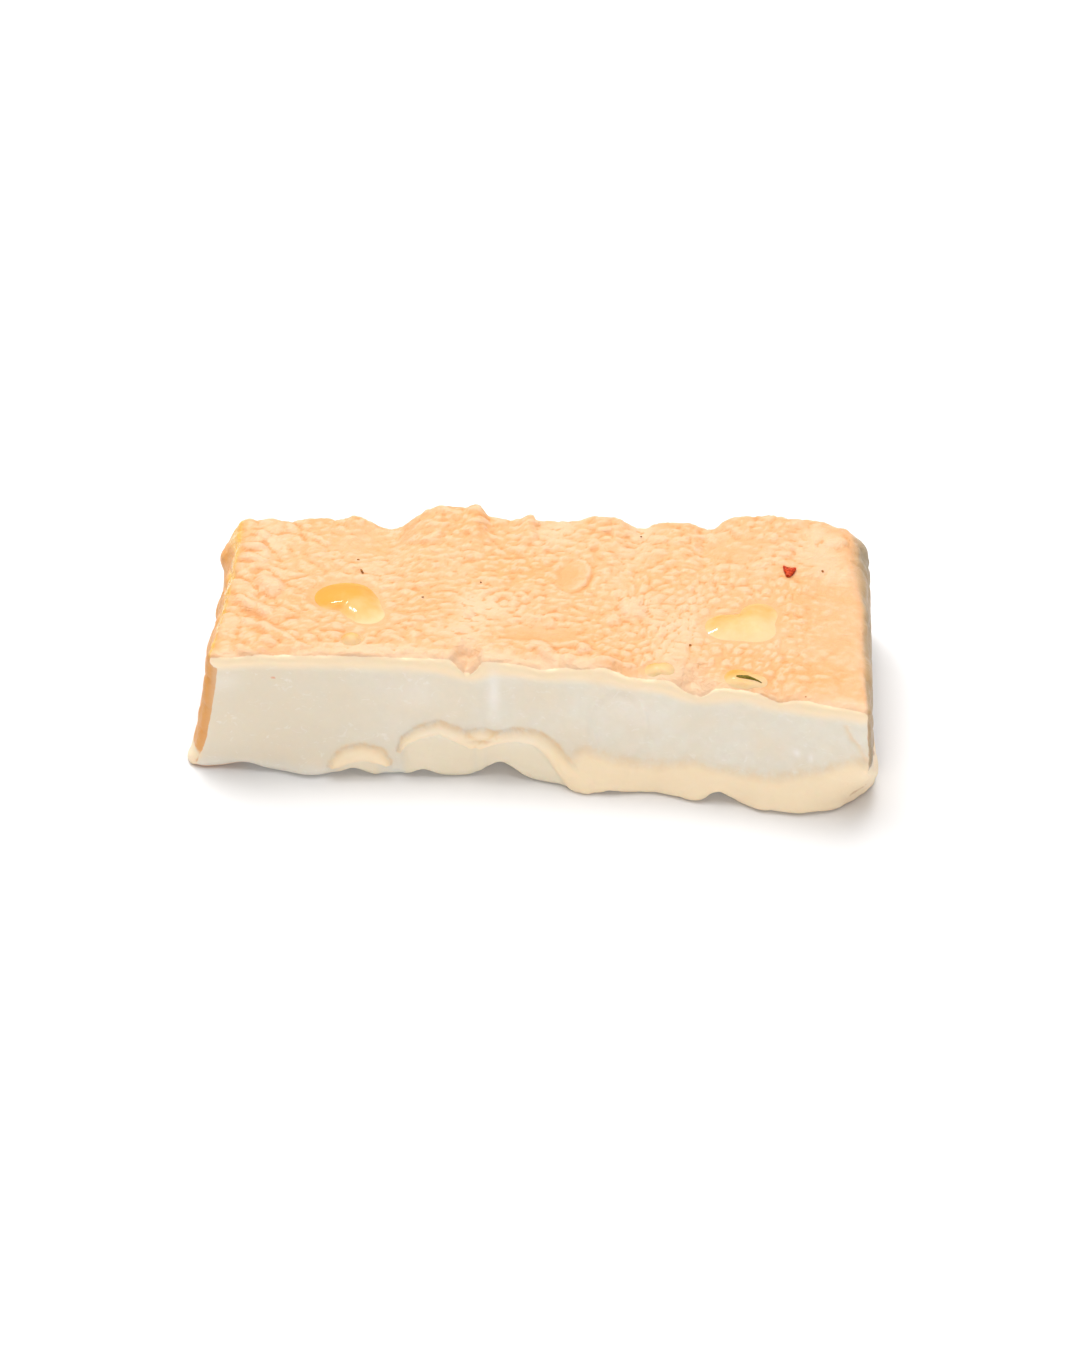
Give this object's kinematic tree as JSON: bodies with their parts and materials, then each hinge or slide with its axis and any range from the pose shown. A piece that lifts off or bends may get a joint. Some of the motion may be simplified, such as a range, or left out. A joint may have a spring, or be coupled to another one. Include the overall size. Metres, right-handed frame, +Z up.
{
  "type": "goat cheese brick",
  "caption": "Ripened soft cheese slice with a wrinkled rind on top, a smooth cut face, rolled rind at its foot and drops of oil.",
  "frame": {"origin": "middle of the box round the slice, on the surface that it stands on", "axes": "+X along the slice's length, -Y out of the cut face, +Z up out of the wrinkled rind"},
  "size_m": [0.1296, 0.0606, 0.0268],
  "materials": {
    "rind": "soft ripened rind, pale orange with cream crests, over an ivory paste on the cut face",
    "oil": "thick glossy golden oil"
  },
  "bodies": {
    "root": {"cheese_brick": "rind", "oil_pool_left": "oil", "oil_pool_right": "oil", "oil_drop_rim": "oil", "oil_drop_leaf": "oil"}
  },
  "joints": []
}
